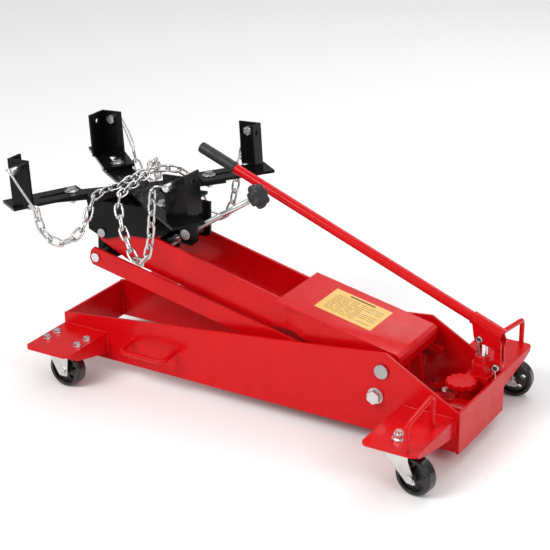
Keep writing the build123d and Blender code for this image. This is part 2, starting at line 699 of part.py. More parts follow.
def chain_pin(name):
    """Pin or bolt through the upright's face along x that holds the end of a chain."""
    x, y, height, _ = UPRIGHTS[name]
    sx = 1 if x > 0 else -1
    sy = 1 if y > 0 else -1
    z = height - HOLE_DROP
    px = x - sx * HOLE_IN
    shank = HOLE_R - RUN
    inner = y - sy * UPRIGHT_GAUGE
    if name in PINNED:
        pin = across(px, z, y - sy * 10, y + sy * 26, shank) + across(px, z, y, y + sy * 26, 7.5)
        pin += across(px, z, inner, y - sy * 12, 9)
        return [saddle_frame(pin)]
    pin = across(px, z, inner, y + sy * 15, shank)
    pin += hexagon((px, inner, z), (px, y - sy * 12, z), 17)
    nut = hexagon((px, y, z), (px, y + sy * 8, z), 17) - across(px, z, y, y + sy * 9, HOLE_R)
    return [saddle_frame(pin), saddle_frame(nut)]


def arm_bolts():
    """Clamp bolts, washers and nuts of the four slotted bars."""
    pieces = []
    for x, y, _, _, lift in BARS.values():
        pieces += hex_bolt((x, y, lift + 0.4), (x, y, CARRIER_TOP - CARRIER_GAUGE), BAR_BOLT_R, BAR_WASHER_R)
    return [saddle_frame(piece) for piece in pieces]


def screw_foot():
    """Swivel at the lower end of the tilt screw, and its cross pin."""
    foot = rod(along_screw(-9), along_screw(20), 9)
    foot -= rod(along_screw(6), along_screw(21), JOURNAL_R + RUN)
    foot -= across(*SCREW_FOOT, -30, 30, 4)
    return [foot, across(*SCREW_FOOT, -22, 22, 4 - RUN)]


def trunnion_nut():
    """Round cross nut that hangs in the ears of the tilting head."""
    nut = across(*TRUNNION, -29, 29, TRUNNION_R)
    return nut - rod(along_screw(TRUNNION_AT - 20), along_screw(TRUNNION_AT + 20), SCREW_R + RUN)


STAR_HEIGHT = 20.0


def tilt_screw():
    """Screw with a smooth journal at its foot and its thread up to the knob."""
    journal = rod(along_screw(7), along_screw(21), JOURNAL_R)
    return journal + rod(along_screw(20.3), along_screw(STAR_AT - 6), SCREW_R)


def star_knob():
    """Black knob with seven lobes on the upper end of the tilt screw."""
    start, end = along_screw(STAR_AT - 6), along_screw(STAR_AT - 6 + STAR_HEIGHT)
    body = rod(start, end, 20)
    plane = Plane(origin=start, z_dir=Vector(*end) - Vector(*start))
    for lobe in range(7):
        body += extrude(plane * Pos(*outward(360 * lobe / 7, 19)) * Circle(6.5), amount=STAR_HEIGHT)
    return body + tube(along_screw(STAR_AT - 14), start, 11, SCREW_R + RUN)


# ---- hydraulic unit and handle ----
def pump_block():
    """Reservoir and valve block between the side plates, with the ram's round housing."""
    body = block((BLOCK_FRONT, -PLATE), (-BLOCK_HALF, BLOCK_HALF), (BLOCK_BOTTOM, BLOCK_TOP))
    body += rod((BLOCK_FRONT, 0, RAM_Z), (-PLATE, 0, RAM_Z), HOUSING_R)
    body += block((-140, BLOCK_FRONT), (45, BLOCK_HALF), (BLOCK_BOTTOM, BLOCK_TOP))
    body += block((-140, BLOCK_FRONT), (-BLOCK_HALF, -45), (BLOCK_BOTTOM, BLOCK_TOP))
    body += block((-59, -12), (49, 94), (BLOCK_TOP, PUMP_BASE))
    body += block((-84, -56), (-15, 12), (BLOCK_TOP, BLOCK_TOP + 15))
    body -= rod((BLOCK_FRONT - 1, 0, RAM_Z), (-12, 0, RAM_Z), RAM_R + RUN)
    return body - upright_rod(KNOB_X, KNOB_Y, STEM_SEAT - 0.5, BLOCK_TOP + 20, 6)


def plug_screws():
    """Overload valve cap, and the filler plug on the reservoir's side arm."""
    cap = hexagon((-69, -2, BLOCK_TOP + 15), (-69, -2, BLOCK_TOP + 29), 24)
    filler = hexagon((-129, 71, BLOCK_TOP), (-129, 71, BLOCK_TOP + 6), 11)
    return [cap, filler]


def ram_piston():
    """Ram with the push plate that bears on the lever's roller."""
    face = PIVOT[0] + LEVER_LENGTH * sin(radians(LEVER_LEAN)) + ROLLER_R + 0.8
    stem = rod((face, 0, RAM_Z), (face + RAM_LENGTH, 0, RAM_Z), RAM_R)
    return stem + block((face, face + 7), (-20, 20), (RAM_Z - 14, RAM_Z + 32))


def pump_barrel():
    """Pump barrel with its flange and the lug that carries the socket links."""
    flange_top = PUMP_BASE + 21
    body = upright_rod(PUMP_X, PUMP_Y, PUMP_BASE, flange_top, PUMP_FLANGE_R)
    body += upright_rod(PUMP_X, PUMP_Y, flange_top, PUMP_TOP, PUMP_R)
    x, z = LINK_FOOT
    body += block((PUMP_X + 10, x), (PUMP_Y - 6, PUMP_Y + 6), (z - 9, z + 9))
    body += across(x, z, PUMP_Y - 6, PUMP_Y + 6, 9)
    body -= across(x, z, PUMP_Y - 7, PUMP_Y + 7, 4)
    return body - upright_rod(PUMP_X, PUMP_Y, PUMP_BASE + 4, PUMP_TOP + 1, PLUNGER_R + RUN)


def pump_plunger():
    """Plunger whose flat head has a slotted eye for the socket's pin."""
    x, z = PLUNGER_EYE
    head_low = z - 10
    stem = upright_rod(PUMP_X, PUMP_Y, PUMP_BASE + 18, head_low, PLUNGER_R)
    head = side_plate([(-44.5, head_low), (-17, head_low), (-17, z), (-22, z + 5.6), (-44.5, z + 9.6)],
                      PUMP_Y - 8.5, PUMP_Y + 8.5)
    slot_half = PIN_R + 0.9
    slot_from, slot_to = x - 0.5, x + 10.5
    slot = block((slot_from, slot_to), (PUMP_Y - 12, PUMP_Y + 12), (z - slot_half, z + slot_half))
    for end in (slot_from, slot_to):
        slot += across(end, z, PUMP_Y - 12, PUMP_Y + 12, slot_half)
    return stem + head - slot


def socket_link():
    """Two upright straps that carry the socket's pivot."""
    x, z = LINK_FOOT
    sx, sz = SOCKET_PIVOT
    strap = side_plate([(x - 8, z), (x + 8, z), (sx + 6, sz), (sx - 6, sz)], PUMP_Y - 9.4, PUMP_Y - 6.3)
    strap += across(x, z, PUMP_Y - 9.4, PUMP_Y - 6.3, 8)
    strap += across(sx, sz, PUMP_Y - 9.4, PUMP_Y - 6.3, 6)
    strap -= across(x, z, PUMP_Y - 20, PUMP_Y + 20, 4)
    strap -= across(sx, sz, PUMP_Y - 20, PUMP_Y + 20, PIN_R + RUN)
    other = Pos(0, 15.7, 0) * strap
    return [strap, other]


def link_pin():
    """Pin through the lower ends of the socket links, with a collar as its head."""
    x, z = LINK_FOOT
    return across(x, z, PUMP_Y - 14, PUMP_Y + 13, 4 - RUN) + across(x, z, PUMP_Y - 17, PUMP_Y - 13, 7)


def handle_socket():
    """Socket tube, and two cheeks that hold the plunger pin and carry the welded pivot pin."""
    socket = tube(handle_line(0), handle_line(SOCKET_LENGTH), SOCKET_R, HANDLE_R)
    x, z = PLUNGER_EYE
    sx, sz = SOCKET_PIVOT
    rear, _, rear_z = handle_line(3)
    front, _, front_z = handle_line(SOCKET_LENGTH - 4)
    outline = [(sx + 8, sz - 5), (sx + 9, sz + 4), (rear, rear_z), (front, front_z), (x - 13, z + 3),
               (x - 9, z - 7), (x, z - 10), (x + 9, z - 10), (sx - 2, sz - 9), (sx + 4, sz - 9)]
    for y in (PUMP_Y - 14, PUMP_Y + 10.2):
        cheek = side_plate(outline, y, y + 3.8) - rod(handle_line(-30), handle_line(100), SOCKET_R - 0.5)
        socket += cheek - across(x, z, 40, 100, PIN_R)
    return socket + across(sx, sz, PUMP_Y - 15, PUMP_Y + 15, PIN_R)


def plunger_pin():
    """Pin that joins the socket to the plunger, with a collar as its head."""
    x, z = PLUNGER_EYE
    return across(x, z, PUMP_Y - 15, PUMP_Y + 17, PIN_R - RUN) + across(x, z, PUMP_Y - 17.5, PUMP_Y - 14, 6.5)


def handle_tube():
    return tube(handle_line(4), handle_line(HANDLE_LENGTH - 4), HANDLE_R - RUN, HANDLE_R - 2)


def handle_grip():
    sleeve = rod(handle_line(HANDLE_LENGTH - GRIP_LENGTH), handle_line(HANDLE_LENGTH), GRIP_R)
    return sleeve - rod(handle_line(HANDLE_LENGTH - GRIP_LENGTH - 1), handle_line(HANDLE_LENGTH - 4), HANDLE_R)


def release_knob():
    """Fluted hand knob of the release valve."""
    rim = 9.0
    rim_low = KNOB_TOP - rim
    lobe_at, lobe_r = KNOB_R - 5, 5.0
    knob = upright_rod(KNOB_X, KNOB_Y, STEM_SEAT, rim_low, 5.5)
    skirt = Cone(9, 26, 7, align=(Align.CENTER, Align.CENTER, Align.MAX))
    knob += Pos(KNOB_X, KNOB_Y, rim_low) * skirt
    knob += upright_rod(KNOB_X, KNOB_Y, rim_low, KNOB_TOP, KNOB_R - 3)
    for flute in range(12):
        x, y = outward(30 * flute, lobe_at, 0, (KNOB_X, KNOB_Y))
        knob += upright_rod(x, y, rim_low, KNOB_TOP, lobe_r)
    return knob


# ---- chains ----
def chain_link():
    """One welded oval link about its own middle, long along x and flat in XY."""
    reach = (LINK_PITCH + LINK_SLACK) / 2 + LINK_WIRE_R
    end_middle = reach - LINK_END_R
    side_r = (end_middle ** 2 + LINK_HALF_WIDTH ** 2 - LINK_END_R ** 2) / (2 * (LINK_HALF_WIDTH - LINK_END_R))
    side_middle = side_r - LINK_HALF_WIDTH
    stretch = side_r / (side_r - LINK_END_R)
    x, y = end_middle * stretch, side_middle * stretch - side_middle
    oval = Wire([
        ThreePointArc((-x, y), (0, LINK_HALF_WIDTH), (x, y)),
        ThreePointArc((x, y), (reach, 0), (x, -y)),
        ThreePointArc((x, -y), (0, -LINK_HALF_WIDTH), (-x, -y)),
        ThreePointArc((-x, -y), (-reach, 0), (-x, y)),
    ])
    section = Plane(origin=oval @ 0, z_dir=oval % 0) * Circle(LINK_WIRE_R)
    return sweep(section, path=oval)


def chain_joints(route):
    """Points along a smooth curve through the route, one link pitch apart."""
    curve = Spline(*route)
    joints = [curve @ 0]
    steps = 4000
    for step in range(1, steps + 1):
        point = curve @ (step / steps)
        if (point - joints[-1]).length >= LINK_PITCH:
            joints.append(point)
    return joints


def chain(name):
    """A chain's links, each turned a quarter against the one before."""
    joints = chain_joints(CHAIN_ROUTES[name])
    link = chain_link()
    normal = Vector(0, 0, 1)
    links = []
    for start, end in zip(joints, joints[1:]):
        way = (end - start).normalized()
        normal = (normal - way * normal.dot(way)).normalized()
        place = Plane(origin=(start + end) / 2, x_dir=way, z_dir=normal)
        links.append(saddle_frame(place * link))
        normal = way.cross(normal)
    print(name, len(links), "links,", round(len(links) * LINK_PITCH), "mm")
    return links


# ---- output ----
def write_node(name, pieces):
    """Write one node's solids, moved to the finished jack's origin."""
    if not isinstance(pieces, list):
        pieces = [pieces]
    solids = []
    for piece in pieces:
        moved = Pos(ORIGIN_X, 0, 0) * piece
        solids.extend(moved.solids())
    shape = solids[0] if len(solids) == 1 else Compound(solids)
    export_step(shape, os.path.join("parts", name + ".step"))


def nodes():
    """Every node's name and its solids."""
    found = {
        "front_cross_plate": front_cross_plate(),
        "rear_cross_plate": rear_cross_plate(),
        "carry_handles": carry_handles(),
        "loop_handles": loop_handles(),
        "front_casters": front_casters(),
        "caster_bolts": caster_bolts(),
        "caster_stems": caster_stems(),
        "lift_pivot_shaft": lift_pivot_shaft(),
        "radius_rod_bolts": radius_rod_bolts(),
        "arm_cover": arm_cover(),
        "arm_web": arm_web(),
        "arm_front_shaft": arm_front_shaft(),
        "lift_lever": lift_lever(),
        "saddle_bracket": saddle_bracket(),
        "rod_pins": rod_pins(),
        "tilt_head": tilt_head(),
        "cross_plate": cross_plate(),
        "arm_bolts": arm_bolts(),
        "screw_foot": screw_foot(),
        "trunnion_nut": trunnion_nut(),
        "tilt_screw": tilt_screw(),
        "star_knob": star_knob(),
        "pump_block": pump_block(),
        "plug_screws": plug_screws(),
        "ram_piston": ram_piston(),
        "pump_barrel": pump_barrel(),
        "pump_plunger": pump_plunger(),
        "socket_link": socket_link(),
        "handle_socket": handle_socket(),
        "plunger_pin": plunger_pin(),
        "link_pin": link_pin(),
        "handle_tube": handle_tube(),
        "handle_grip": handle_grip(),
        "release_knob": release_knob(),
        "chain_left": chain("chain_left"),
        "chain_right": chain("chain_right"),
    }
    left_nodes = {
        "side_plate": [base_side()],
        "front_wheel_bracket": [front_bracket()],
        "rear_wheel_bracket": [rear_bracket()],
        "rear_fork": rear_fork(),
        "wheel_front": [Pos(FRONT_WHEEL_X, -FRONT_WHEEL_Y, WHEEL_R) * wheel()],
        "wheel_rear": [rear_wheel_place() * wheel()],
        "arm_plate": [arm_plate()],
        "radius_rod": [radius_rod()],
    }
    for name, pieces in left_nodes.items():
        found[name + "_left"] = pieces
        found[name + "_right"] = mirrored(pieces)
    for name in BARS:
        found["saddle_bar_" + name] = saddle_bar(name)
        found["chain_pin_" + name] = chain_pin(name)
    return found


def main():
    os.makedirs("parts", exist_ok=True)
    for name, pieces in nodes().items():
        write_node(name, pieces)


if __name__ == "__main__":
    main()
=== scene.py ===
from math import cos, pi, radians, sin

import bmesh
import bpy
from mathutils import Matrix, Vector


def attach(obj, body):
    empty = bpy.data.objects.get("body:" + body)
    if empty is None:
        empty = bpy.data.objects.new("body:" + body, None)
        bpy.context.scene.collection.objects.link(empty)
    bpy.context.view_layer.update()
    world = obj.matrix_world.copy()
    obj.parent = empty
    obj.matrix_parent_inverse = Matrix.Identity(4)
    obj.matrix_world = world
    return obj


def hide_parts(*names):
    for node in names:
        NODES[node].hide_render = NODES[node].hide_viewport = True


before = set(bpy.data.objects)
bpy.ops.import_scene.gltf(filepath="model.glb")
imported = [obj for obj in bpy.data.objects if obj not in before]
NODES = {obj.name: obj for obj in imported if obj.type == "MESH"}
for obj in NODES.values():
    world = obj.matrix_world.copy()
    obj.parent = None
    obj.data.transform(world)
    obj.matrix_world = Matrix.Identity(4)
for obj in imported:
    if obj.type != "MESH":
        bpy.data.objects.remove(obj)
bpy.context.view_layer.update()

SCENE = bpy.context.scene

# ---- the jack's own dimensions, in millimetres and degrees ----
ORIGIN_X = 504.65
PIVOT = (-160.0, 157.0)
ARM_ANGLE = 11.8
COVER_TOP = 32.0
SADDLE = (-766.0, 384.6)
SADDLE_PITCH = 3.1
SCREW_FOOT = (-695.6, 273.9)
SCREW_ANGLE = 33.05
HANDLE_START = (4.0, 198.1)
HANDLE_ANGLE = 21.54
HANDLE_LENGTH = 718.0
PUMP_Y = 72.0
PLUNGER_X = -35.0
KNOB_AT = 247.0             # along the tilt screw
JOURNAL_END = 20.8          # along the tilt screw, as is the next one
SHANK_END = 240.8

# ---- studio ----
CAMERA_AT = (1036.4, -2461.2, 1467.5)
CAMERA_AZIMUTH, CAMERA_ELEVATION, CAMERA_ROLL = 31.12, 22.91, -0.58
CAMERA_LENS = 104.19
FLOOR_HALF = 8


def place(x, y, z):
    """Millimetres from the rear plate to the frame's metres."""
    return Vector(((x + ORIGIN_X) / 1000, y / 1000, z / 1000))


def on_saddle(x, y, up):
    """A point given about the middle of the saddle's cross plate."""
    pitch = radians(SADDLE_PITCH)
    return place(SADDLE[0] + x * cos(pitch) - up * sin(pitch), y,
                 SADDLE[1] + x * sin(pitch) + up * cos(pitch))


def on_arm(along, y, above):
    """A point given along the lift arm from its pivot."""
    lean = radians(ARM_ANGLE)
    return place(PIVOT[0] - along * cos(lean) + above * sin(lean), y,
                 PIVOT[1] + along * sin(lean) + above * cos(lean))


def on_screw(distance):
    """A point on the tilt screw's axis, from its foot pin."""
    lean = radians(SCREW_ANGLE)
    return place(SCREW_FOOT[0] + distance * cos(lean), 0, SCREW_FOOT[1] + distance * sin(lean))


def on_handle(distance):
    """A point on the pump handle's axis, from its socket."""
    lean = radians(HANDLE_ANGLE)
    return place(HANDLE_START[0] - distance * cos(lean), PUMP_Y, HANDLE_START[1] + distance * sin(lean))


def axes(lean_degrees, way_x):
    """Directions along a leaning rod, across it, and square to both."""
    lean = radians(lean_degrees)
    along = Vector((way_x * cos(lean), 0, sin(lean)))
    across = Vector((0, 1, 0))
    return along, across, along.cross(across)


# ---- camera and light ----
def add_camera():
    """The photographed view."""
    azimuth, elevation, roll = radians(CAMERA_AZIMUTH), radians(CAMERA_ELEVATION), radians(CAMERA_ROLL)
    back = Vector((sin(azimuth) * cos(elevation), -cos(azimuth) * cos(elevation), sin(elevation)))
    right = (-back).cross(Vector((0, 0, 1))).normalized()
    up = right.cross(-back)
    tilted_right = right * cos(roll) + up * sin(roll)
    tilted_up = up * cos(roll) - right * sin(roll)
    camera = bpy.data.objects.new("camera", bpy.data.cameras.new("camera"))
    camera.data.lens = CAMERA_LENS
    camera.data.sensor_width = 36
    camera.data.clip_end = 30
    turn = Matrix((tilted_right, tilted_up, back)).transposed().to_4x4()
    camera.matrix_world = Matrix.Translation(place(*CAMERA_AT)) @ turn
    SCENE.collection.objects.link(camera)
    SCENE.camera = camera


def add_light(name, position, size, power, target=(0.0, 0.0, 0.2)):
    """A round soft box aimed at the jack."""
    light = bpy.data.lights.new(name, "AREA")
    light.shape = "DISK"
    light.size = size
    light.energy = power
    lamp = bpy.data.objects.new(name, light)
    way = Vector(target) - Vector(position)
    lamp.location = position
    lamp.rotation_euler = way.to_track_quat("-Z", "Y").to_euler()
    SCENE.collection.objects.link(lamp)


def add_world():
    """Soft surroundings that brighten towards the top."""
    world = bpy.data.worlds.new("studio")
    world.use_nodes = True
    tree = world.node_tree
    background = tree.nodes["Background"]
    background.inputs["Strength"].default_value = 0.8
    direction = tree.nodes.new("ShaderNodeTexCoord")
    height = tree.nodes.new("ShaderNodeSeparateXYZ")
    ramp = tree.nodes.new("ShaderNodeValToRGB")
    ramp.color_ramp.elements[0].position = 0.0
    ramp.color_ramp.elements[0].color = (0.10, 0.10, 0.11, 1)
    ramp.color_ramp.elements[1].position = 0.75
    ramp.color_ramp.elements[1].color = (1.0, 1.0, 1.0, 1)
    tree.links.new(direction.outputs["Generated"], height.inputs["Vector"])
    tree.links.new(height.outputs["Z"], ramp.inputs["Fac"])
    tree.links.new(ramp.outputs["Color"], background.inputs["Color"])
    SCENE.world = world


# ---- materials ----
class Paint:
    """A procedural material: each call adds one feature to its node tree."""

    def __init__(self, name, colour, metallic=0.0, roughness=0.4, coat=0.0, coat_roughness=0.1, specular=0.5):
        self.material = bpy.data.materials.new(name)
        self.material.use_nodes = True
        self.tree = self.material.node_tree
        self.shader = self.tree.nodes["Principled BSDF"]
        self.position = self.node("ShaderNodeTexCoord").outputs["Object"]
        self.normal = None
        self.colour = None
        self.base = colour
        self.shader.inputs["Base Color"].default_value = (*colour, 1)
        self.shader.inputs["Metallic"].default_value = metallic
        self.shader.inputs["Roughness"].default_value = roughness
        self.shader.inputs["Coat Weight"].default_value = coat
        self.shader.inputs["Coat Roughness"].default_value = coat_roughness
        self.shader.inputs["Specular IOR Level"].default_value = specular

    def node(self, kind, **settings):
        node = self.tree.nodes.new(kind)
        for key, value in settings.items():
            setattr(node, key, value)
        return node

    def link(self, output, target):
        self.tree.links.new(output, target)

    def noise(self, scale, detail=3.0, roughness=0.55, stretch=None):
        """A noise texture's value, with scale in features per metre."""
        source = self.position
        if stretch:
            mapping = self.node("ShaderNodeMapping")
            mapping.inputs["Scale"].default_value = stretch
            self.link(source, mapping.inputs["Vector"])
            source = mapping.outputs["Vector"]
        noise = self.node("ShaderNodeTexNoise")
        noise.inputs["Scale"].default_value = scale
        noise.inputs["Detail"].default_value = detail
        noise.inputs["Roughness"].default_value = roughness
        self.link(source, noise.inputs["Vector"])
        return noise.outputs["Fac"]

    def range(self, value, low, high, to_low=0.0, to_high=1.0):
        node = self.node("ShaderNodeMapRange")
        for key, number in (("From Min", low), ("From Max", high), ("To Min", to_low), ("To Max", to_high)):
            node.inputs[key].default_value = number
        self.link(value, node.inputs["Value"])
        return node.outputs["Result"]

    def times(self, first, second):
        node = self.node("ShaderNodeMath", operation="MULTIPLY")
        for value, target in ((first, node.inputs[0]), (second, node.inputs[1])):
            if isinstance(value, float):
                target.default_value = value
            else:
                self.link(value, target)
        return node.outputs["Value"]

    def tint(self, amount, colour):
        """Blend the colour so far towards another one by a value."""
        mix = self.node("ShaderNodeMix", data_type="RGBA")
        self.link(amount, mix.inputs["Factor"])
        if self.colour is None:
            mix.inputs["A"].default_value = (*self.base, 1)
        else:
            self.link(self.colour, mix.inputs["A"])
        mix.inputs["B"].default_value = (*colour, 1)
        self.colour = mix.outputs["Result"]
        self.link(self.colour, self.shader.inputs["Base Color"])

    def edges(self, radius):
        """Value that is 1 along sharp edges and 0 on flat faces."""
        bevel = self.node("ShaderNodeBevel", samples=6)
        bevel.inputs["Radius"].default_value = radius
        geometry = self.node("ShaderNodeNewGeometry")
        dot = self.node("ShaderNodeVectorMath", operation="DOT_PRODUCT")
        self.link(bevel.outputs["Normal"], dot.inputs[0])
        self.link(geometry.outputs["Normal"], dot.inputs[1])
        return self.range(dot.outputs["Value"], 0.98, 0.8)

    def soften(self, radius):
        """Round the shading of sharp edges."""
        bevel = self.node("ShaderNodeBevel", samples=6)
        bevel.inputs["Radius"].default_value = radius
        self.normal = bevel.outputs["Normal"]
        self.link(self.normal, self.shader.inputs["Normal"])

    def bump(self, height, distance, strength=1.0):
        bump = self.node("ShaderNodeBump")
        bump.inputs["Strength"].default_value = strength
        bump.inputs["Distance"].default_value = distance
        self.link(height, bump.inputs["Height"])
        if self.normal:
            self.link(self.normal, bump.inputs["Normal"])
        self.normal = bump.outputs["Normal"]
        self.link(self.normal, self.shader.inputs["Normal"])

    def vary_roughness(self, value, low, high):
        self.link(self.range(value, 0.3, 0.7, low, high), self.shader.inputs["Roughness"])


def red_paint(name="red_paint", colour=(0.63, 0.0015, 0.004)):
    """Glossy enamel with orange peel, slight dust, and thin chips along the edges."""
    paint = Paint(name, colour, roughness=0.3, coat=0.12, coat_roughness=0.06, specular=0.16)
    paint.soften(0.0011)
    paint.tint(paint.range(paint.noise(9, 4), 0.35, 0.75, 0.0, 0.5), tuple(c * 0.8 for c in colour))
    paint.tint(paint.range(paint.noise(55, 5), 0.58, 0.75, 0.0, 0.2), (0.70, 0.008, 0.010))
    chips = paint.times(paint.edges(0.0016), paint.range(paint.noise(160, 4, 0.7), 0.60, 0.68))
    paint.tint(paint.times(chips, 0.8), (0.30, 0.02, 0.018))
    paint.vary_roughness(paint.noise(24, 4), 0.2, 0.38)
    paint.bump(paint.noise(420, 2), 0.00008, 0.6)
    paint.bump(paint.noise(28, 2), 0.0005, 0.35)
    return paint.material


def black_paint(name="black_paint", colour=(0.004, 0.004, 0.0045)):
    """Semi-gloss black enamel with scuffed edges."""
    paint = Paint(name, colour, roughness=0.22, coat=0.03, coat_roughness=0.05, specular=0.1)
    paint.soften(0.001)
    paint.tint(paint.range(paint.noise(14, 4), 0.4, 0.75, 0.0, 0.6), (0.008, 0.008, 0.008))
    chips = paint.times(paint.edges(0.0015), paint.range(paint.noise(130, 4, 0.7), 0.56, 0.68))
    paint.tint(paint.times(chips, 0.75), (0.16, 0.15, 0.14))
    paint.vary_roughness(paint.noise(30, 4), 0.16, 0.34)
    paint.bump(paint.noise(500, 2), 0.0001, 0.6)
    paint.bump(paint.noise(34, 2), 0.0004, 0.3)
    return paint.material


def bright_metal(name, colour, roughness, grime=(0.22, 0.20, 0.17), brushed=None):
    """Plated or ground steel with dull patches and dark grime in random specks."""
    paint = Paint(name, colour, metallic=1.0, roughness=roughness)
    paint.soften(0.0007)
    paint.tint(paint.range(paint.noise(45, 5), 0.45, 0.8, 0.0, 0.55), tuple(c * 0.72 for c in colour))
    paint.tint(paint.range(paint.noise(210, 4, 0.7), 0.62, 0.8, 0.0, 0.5), grime)
    paint.vary_roughness(paint.noise(90, 4), roughness * 0.75, roughness * 1.45)
    paint.bump(paint.noise(600, 3, 0.6, brushed), 0.00008, 0.7)
    return paint.material


def moulded(name, colour, roughness, coat=0.0, dust=0.3):
    """Moulded plastic or rubber with fine texture and a little dust."""
    paint = Paint(name, colour, roughness=roughness, coat=coat)
    paint.soften(0.0012)
    paint.tint(paint.range(paint.noise(60, 5), 0.45, 0.8, 0.0, dust), tuple(0.04 + c for c in colour))
    paint.vary_roughness(paint.noise(35, 4), roughness * 0.8, roughness * 1.3)
    paint.bump(paint.noise(900, 3), 0.0001, 0.8)
    return paint.material


def label_paper(name="label_film"):
    """Yellow printed film."""
    paint = Paint(name, (0.80, 0.50, 0.10), roughness=0.42, coat=0.2)
    paint.tint(paint.range(paint.noise(40, 4), 0.4, 0.8, 0.0, 0.5), (0.86, 0.60, 0.20))
    paint.bump(paint.noise(300, 2), 0.00006, 0.5)
    return paint.material


RED = red_paint()
BLACK = black_paint()
ZINC = bright_metal("zinc_plate", (0.66, 0.66, 0.65), 0.26)
STEEL = bright_metal("plain_steel", (0.44, 0.44, 0.43), 0.36, (0.14, 0.11, 0.09))
GROUND = bright_metal("ground_steel", (0.78, 0.78, 0.78), 0.14, brushed=(1, 1, 12))
CHAIN = bright_metal("chain_steel", (0.62, 0.62, 0.61), 0.22)
WHEEL = moulded("wheel_plastic", (0.008, 0.008, 0.009), 0.26, 0.15, 0.15)
PLASTIC = moulded("knob_plastic", (0.016, 0.016, 0.017), 0.45, 0.0, 0.4)
RUBBER = moulded("grip_rubber", (0.014, 0.014, 0.014), 0.5, 0.0, 0.3)
LABEL = label_paper()
INK = moulded("label_ink", (0.10, 0.05, 0.02), 0.6, 0.0, 0.2)

NODE_MATERIALS = {
    "caster_bolts": ZINC, "caster_stems": ZINC, "front_casters": ZINC, "rear_fork_left": ZINC,
    "rear_fork_right": ZINC, "lift_pivot_shaft": STEEL, "radius_rod_bolts": ZINC, "arm_front_shaft": STEEL,
    "rod_pins": ZINC, "arm_bolts": ZINC, "screw_foot": STEEL, "trunnion_nut": STEEL, "tilt_screw": ZINC,
    "star_knob": PLASTIC, "plug_screws": ZINC, "ram_piston": GROUND, "link_pin": STEEL,
    "pump_plunger": GROUND, "socket_link": RED, "plunger_pin": STEEL, "handle_grip": RUBBER,
    "chain_left": CHAIN, "chain_right": CHAIN, "saddle_bracket": BLACK, "tilt_head": BLACK,
    "cross_plate": BLACK,
}
for corner in ("front_left", "front_right", "rear_right", "rear_left"):
    NODE_MATERIALS["saddle_bar_" + corner] = BLACK
    NODE_MATERIALS["chain_pin_" + corner] = ZINC
for side in ("left", "right"):
    NODE_MATERIALS["wheel_front_" + side] = WHEEL
    NODE_MATERIALS["wheel_rear_" + side] = WHEEL


def paint_nodes():
    """Give every CAD node its material."""
    for name, node in NODES.items():
        material = NODE_MATERIALS.get(name, RED)
        if not node.material_slots:
            node.data.materials.append(material)
        for slot in node.material_slots:
            slot.material = material


# ---- mesh builders ----
def round_section(centre, first, second, radii):
    """Points of a circle or a lobed outline around a centre, from the radius at each step in millimetres."""
    count = len(radii)
    return [centre + (first * cos(2 * pi * j / count) + second * sin(2 * pi * j / count)) * radius / 1000
            for j, radius in enumerate(radii)]


def add_mesh(name, vertices, faces, material, body, slot, smooth=True):
    """A closed piece that rides a body."""
    mesh = bpy.data.meshes.new(name)
    mesh.from_pydata([tuple(v) for v in vertices], [], faces)
    fixer = bmesh.new()
    fixer.from_mesh(mesh)
    bmesh.ops.recalc_face_normals(fixer, faces=fixer.faces)
    fixer.to_mesh(mesh)
    fixer.free()
    mesh.materials.append(material)
    for polygon in mesh.polygons:
        polygon.use_smooth = smooth
    piece = bpy.data.objects.new(name, mesh)
    SCENE.collection.objects.link(piece)
    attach(piece, body)
    return piece


def rings_to_mesh(rings, closed=False):
    """Vertices and faces of a skin over rings of equal size, capped unless closed."""
    size = len(rings[0])
    vertices = [point for ring in rings for point in ring]
    faces = []
    count = len(rings)
    for i in range(count if closed else count - 1):
        for j in range(size):
            k = (j + 1) % size
            a, b = i * size, ((i + 1) % count) * size
            faces.append((a + j, a + k, b + k, b + j))
    if not closed:
        faces.append(tuple(reversed(range(size))))
        faces.append(tuple(range((count - 1) * size, count * size)))
    return vertices, faces


def sweep(points, radius_at, sides=12, closed=False):
    """Rings of a round section carried along points without twisting."""
    count = len(points)
    rings = []
    side_way = None
    for i, point in enumerate(points):
        before = points[i - 1] if i or closed else points[0]
        after = points[(i + 1) % count] if i < count - 1 or closed else points[-1]
        along = (after - before).normalized()
        if side_way is None:
            helper = Vector((0, 0, 1)) if abs(along.z) < 0.8 else Vector((1, 0, 0))
            side_way = along.cross(helper).normalized()
        side_way = (side_way - along * side_way.dot(along)).normalized()
        other = along.cross(side_way)
        radius = radius_at(i)
        rings.append([point + (side_way * cos(2 * pi * j / sides) + other * sin(2 * pi * j / sides)) * radius
                      for j in range(sides)])
    return rings


def smooth_path(points, steps=8):
    """Catmull-Rom points through the given ones."""
    path = []
    padded = [points[0] * 2 - points[1], *points, points[-1] * 2 - points[-2]]
    for a, b, c, d in zip(padded, padded[1:], padded[2:], padded[3:]):
        for step in range(steps):
            t = step / steps
            path.append(((b * 2) + (c - a) * t + (a * 2 - b * 5 + c * 4 - d) * t * t
                         + (b * 3 - a - c * 3 + d) * t * t * t) / 2)
    return path + [points[-1]]


def wire(name, points, radius, material, body, slot="zinc_plate"):
    """A bent wire with a smooth path through the points."""
    path = smooth_path([Vector(p) for p in points])
    rings = sweep(path, lambda i: radius / 1000, 10)
    return add_mesh(name, *rings_to_mesh(rings), material, body, slot)


